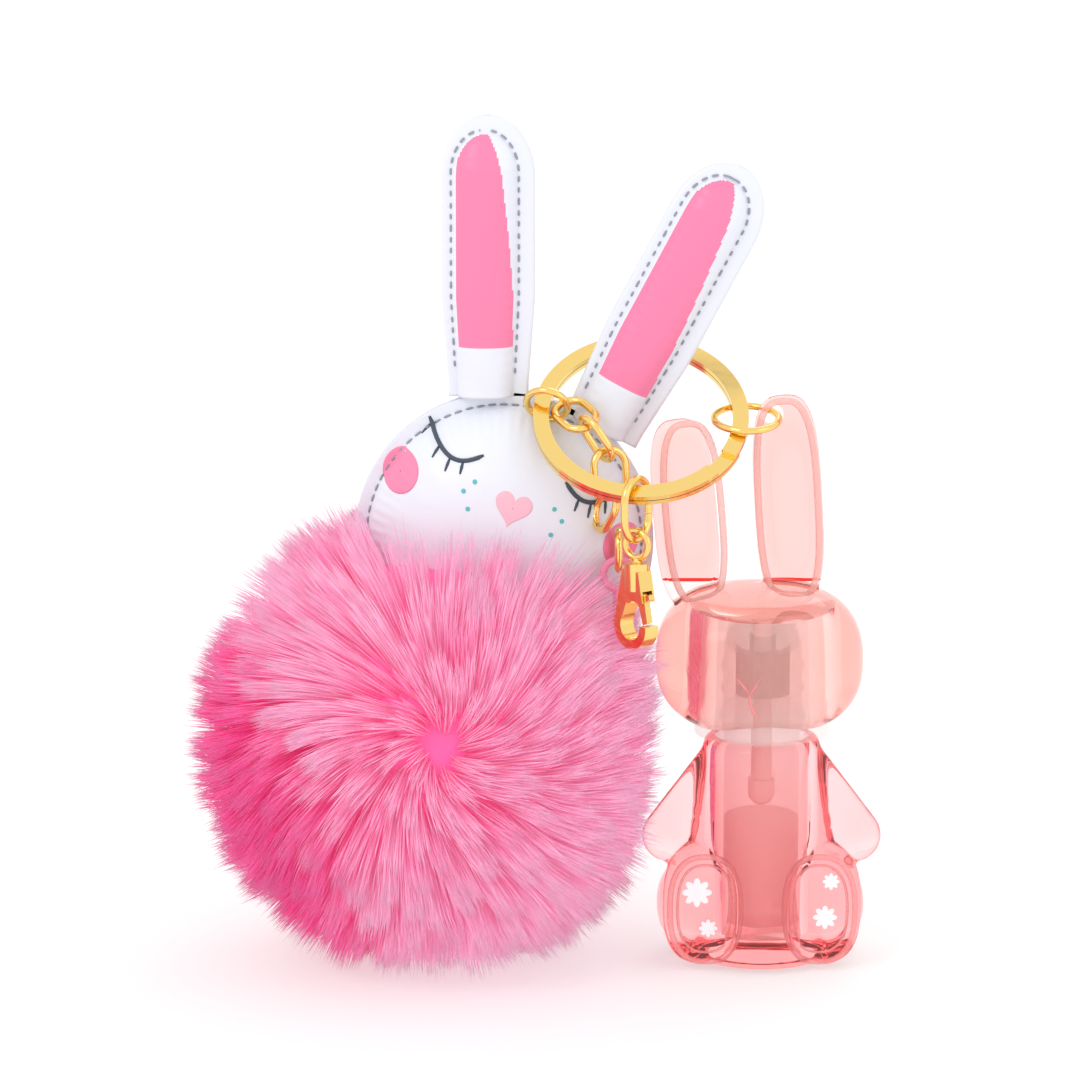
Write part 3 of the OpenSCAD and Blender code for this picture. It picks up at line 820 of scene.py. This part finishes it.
def cross_cylinder(x, z, radius, half_length, columns=48):
    """A closed cylinder along Y, used to cut a hole from front to back."""
    verts = []
    for y in (-half_length, half_length):
        for k in range(columns):
            a = 2 * math.pi * k / columns
            verts.append(Vector((x + radius * math.cos(a), y, z + radius * math.sin(a))))
    faces = [tuple(reversed(f)) for f in grid_faces(2, columns, True)]
    faces += [tuple(range(columns)), tuple(reversed(range(columns, 2 * columns)))]
    return verts, faces


VOXEL = 0.42
CAP_BORE_R = 9.6
VIAL_BORE_R = 6.7
EAR_PIVOT_Z = 50.8
LEFT_EAR_TURN = math.radians(-5)
RIGHT_EAR_TURN = math.radians(-3.5)
# above this height the clear ears take their deeper tint
EAR_TINT_Z = 54.5
SOLE_X = 8.0
SOLE_Z = 8.8


def clear_ear(x, z, pivot_x, half, turn):
    """One flat clear ear, leaning about its foot."""
    return turned(rounded_block((x, 0, z), half, 0.62), (pivot_x, 0, EAR_PIVOT_Z), "Y", turn)


def ear_dent(centre, half, turn):
    """The shallow hollow pressed into the front of a clear ear."""
    return turned(rounded_block(centre, half, 0.7, 24, 40), centre, "Y", turn)


def make_cap():
    x = BOTTLE_X
    head = rounded_block((x - 0.4, 0, 43.2), (14.6, 12.5, 10.6), 0.8)
    left = clear_ear(22.0, 64.1, 24, (4.5, 1.75, 13.5), LEFT_EAR_TURN)
    right = clear_ear(36.2, 65.8, 36.2, (4.8, 1.75, 15.0), RIGHT_EAR_TURN)
    bore = lathe([(CAP_BORE_R, 31), (CAP_BORE_R, 50.0)], x)
    hole = cross_cylinder(32.9, 78, 1.6, 5)
    dents = [
        ear_dent((21.3, -1.9, 66), (2.6, 0.75, 9.5), LEFT_EAR_TURN),
        ear_dent((35.6, -1.9, 65), (2.7, 0.75, 10), RIGHT_EAR_TURN),
    ]
    cap = fused("clear_head_and_ears", [head, left, right], [bore, hole] + dents, VOXEL, PEACH, "cap")
    cap.data.materials.append(DEEP_PEACH)
    for polygon in cap.data.polygons:
        if polygon.center.z > EAR_TINT_Z * MM:
            polygon.material_index = 1
    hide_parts("cap_shell")


def make_bottle():
    x = BOTTLE_X
    # radius and height, from the foot up to the joint under the head
    torso = [(9.5, 0.2), (11.2, 1.6), (11.6, 6), (11.0, 14), (9.6, 22), (8.6, 28), (8.2, 31.2), (7.4, 32.2)]
    shapes = [lathe(torso, x)]
    cutters = [lathe([(VIAL_BORE_R, 4), (VIAL_BORE_R, 40)], x)]
    for side in (-1, 1):
        shapes.append(rounded_block((x + side * SOLE_X, -5.2, SOLE_Z), (6.0, 3.7, 8.7), 0.74))
        shapes.append(rounded_block((x + side * 7.8, 1.5, 7.2), (6.9, 7.2, 7.0), 0.9))
        for t in np.linspace(0, 1, 12):
            centre = (x + side * (6.6 + 6.4 * t), -1.0 - 1.2 * t, 29.2 - 11.2 * t)
            r = 2.2 + 1.7 * t
            shapes.append(rounded_block(centre, (r, r * 0.85, r), 1.0, 16, 24))
        cutters.append(rounded_block((x + side * SOLE_X, -9.2, SOLE_Z), (4.7, 1.2, 7.2), 0.7, 24, 48))
    bottle = fused("clear_bunny_body", shapes, cutters, VOXEL, CORAL, "bottle")
    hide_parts("bottle_shell")


def daisy(x, z, size, petals=8):
    outline = []
    for k in range(petals * 8):
        a = 2 * math.pi * k / (petals * 8)
        r = size * (0.62 + 0.38 * abs(math.cos(a * petals / 2)))
        outline.append((x + r * math.cos(a), z + r * math.sin(a)))
    return outline


def sole_flower(name, outline):
    """A flat printed flower just in front of the sole's pad."""
    count = len(outline)
    verts = [Vector((u, y, v)) * MM for y in (-8.42, -8.34) for u, v in outline]
    faces = [tuple(range(count)), tuple(reversed(range(count, 2 * count)))]
    for k in range(count):
        n = (k + 1) % count
        faces.append((k, k + count, n + count, n))
    make_object(name, verts, faces, FLOWER, "bottle", smooth=False)


def loop_tube(name, points, radius, mat, body):
    """A round bead that follows a closed line of points."""
    count, sides, verts = len(points), 8, []
    for i, p in enumerate(points):
        ahead = (points[(i + 1) % count] - points[i - 1]).normalized()
        side = ahead.cross(Vector((0, 1, 0))).normalized()
        for k in range(sides):
            a = 2 * math.pi * k / sides
            verts.append((p + (side * math.cos(a) + Vector((0, 1, 0)) * math.sin(a)) * radius) * MM)
    faces = []
    for i in range(count):
        for k in range(sides):
            a, b = i * sides + k, i * sides + (k + 1) % sides
            c, d = (i + 1) % count * sides + (k + 1) % sides, (i + 1) % count * sides + k
            faces.append((a, b, c, d))
    make_object(name, verts, faces, mat, body)


def egg(x, y, z, half_x, half_z, lean, power=0.8, count=72):
    """A closed superellipse standing in the XZ plane, leaning about its middle."""
    points = []
    for k in range(count):
        a = 2 * math.pi * k / count
        u = half_x * signed_power(math.cos(a), power)
        v = half_z * signed_power(math.sin(a), power)
        along = x + u * math.cos(lean) + v * math.sin(lean)
        height = z + v * math.cos(lean) - u * math.sin(lean)
        points.append(Vector((along, y, height)))
    return points


def clear_rims():
    x = BOTTLE_X
    for name, side in (("left", -1), ("right", 1)):
        line = egg(x + side * SOLE_X, -8.55, SOLE_Z, 5.0, 7.6, 0)
        loop_tube(f"{name}_sole_rim", line, 0.42, RIM, "bottle")
        line = egg(x + side * SOLE_X, -8.2, SOLE_Z, 3.9, 6.3, 0)
        loop_tube(f"{name}_sole_pad_edge", line, 0.2, RIM, "bottle")
    ears = (
        ("left", 22.05, 64.1, 3.9, 12.8, LEFT_EAR_TURN),
        ("right", 35.2, 65.8, 4.15, 14.3, RIGHT_EAR_TURN),
    )
    for name, ear_x, ear_z, half_x, half_z, lean in ears:
        line = egg(ear_x, -1.55, ear_z, half_x, half_z, lean, 0.68)
        loop_tube(f"{name}_clear_ear_rim", line, 0.5, EAR_RIM, "cap")


def inner_pieces():
    """The pieces seen through the clear head and body keep the frame's shapes."""
    looks = {
        "cap_liner": LINER, "wand_stem": MILKY, "applicator_tip": MILKY,
        "wiper_plug": LINER, "bottle_neck": VIAL, "gloss_fill": GLOSS,
    }
    for node, mat in looks.items():
        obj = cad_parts[node]
        obj.data.materials.clear()
        obj.data.materials.append(mat)
        for polygon in obj.data.polygons:
            polygon.use_smooth = True
        obj.data.set_sharp_from_angle(angle=math.radians(35))


def pressed_face():
    """The small face pressed into the clear head, a little left of its middle."""
    face_x, face_y, face_z = BOTTLE_X, -12.5, 41
    lines = [
        [(-3.4, 2.0), (-2.2, 0.6), (-1.6, -0.2)],
        [(-0.2, 1.8), (-1.0, 0.4), (-1.6, -0.2)],
        [(-1.6, -0.2), (-1.5, -1.6), (-1.0, -2.9), (-0.3, -3.6)],
    ]
    parts = []
    for line in lines:
        path = [Vector((face_x + u - 0.6, face_y + 0.002 * u * u, face_z + v)) * MM for u, v in line]
        parts.append(tube_mesh(path, 0.24 * MM, 8))
    obj = make_object("clear_head_face_line", *joined(parts), RIM, "cap")


def sole_flowers():
    # sideways from the bottle's axis, height, and size
    flowers = ((-9.2, 11.2, 2.1), (-7.6, 6.0, 1.3), (8.8, 7.6, 1.7), (9.6, 12.8, 1.2))
    for i, (sideways, z, size) in enumerate(flowers):
        sole_flower(f"sole_flower_print_{i + 1}", daisy(BOTTLE_X + sideways, z, size))


# ------------------------------------------------------------ the picture


def make_stage():
    bpy.ops.mesh.primitive_plane_add(size=6, location=(0, 0, -0.0002))
    floor = bpy.context.object
    floor.name = "floor"
    mat, _, shader = material("floor", Base_Color=(0.5, 0.5, 0.5, 1), Roughness=0.8)
    # a lit white sweep: its own light keeps the shadows faint
    shader.inputs["Emission Color"].default_value = (1, 1, 1, 1)
    shader.inputs["Emission Strength"].default_value = 0.5
    floor.data.materials.append(mat)
    world = bpy.data.worlds.new("studio")
    world.use_nodes = True
    world.node_tree.nodes["Background"].inputs["Color"].default_value = (1, 1, 1, 1)
    world.node_tree.nodes["Background"].inputs["Strength"].default_value = 1.02
    bpy.context.scene.world = world
    area_light("key_light", (-0.35, -0.5, 0.55), 0.3, 1.0)
    area_light("fill_light", (0.5, -0.35, 0.3), 0.4, 0.2)
    area_light("back_light", (0.2, 0.5, 0.5), 0.3, 0.4)
    bpy.context.scene.view_settings.view_transform = "Standard"
    # many clear walls stand one behind another in the bottle
    bpy.context.scene.cycles.max_bounces = 28
    bpy.context.scene.cycles.transmission_bounces = 28


make_camera()
make_stage()
finish_hardware()
head_panel("head_front_leather", -1, ["head_front_panel", "head_stuffing"])
head_panel("head_back_leather", 1, ["head_back_panel"])
head_stitches()
face_prints()
for ear_side, ear in EARS.items():
    ear_panel(ear_side, ear, -1, "front", [f"{ear_side}_ear_front_panel", f"{ear_side}_ear_stuffing"])
    ear_panel(ear_side, ear, 1, "back", [f"{ear_side}_ear_back_panel"])
    ear_stitches(ear_side, ear)
make_pompom()
make_cap()
make_bottle()
clear_rims()
sole_flowers()
inner_pieces()
pressed_face()
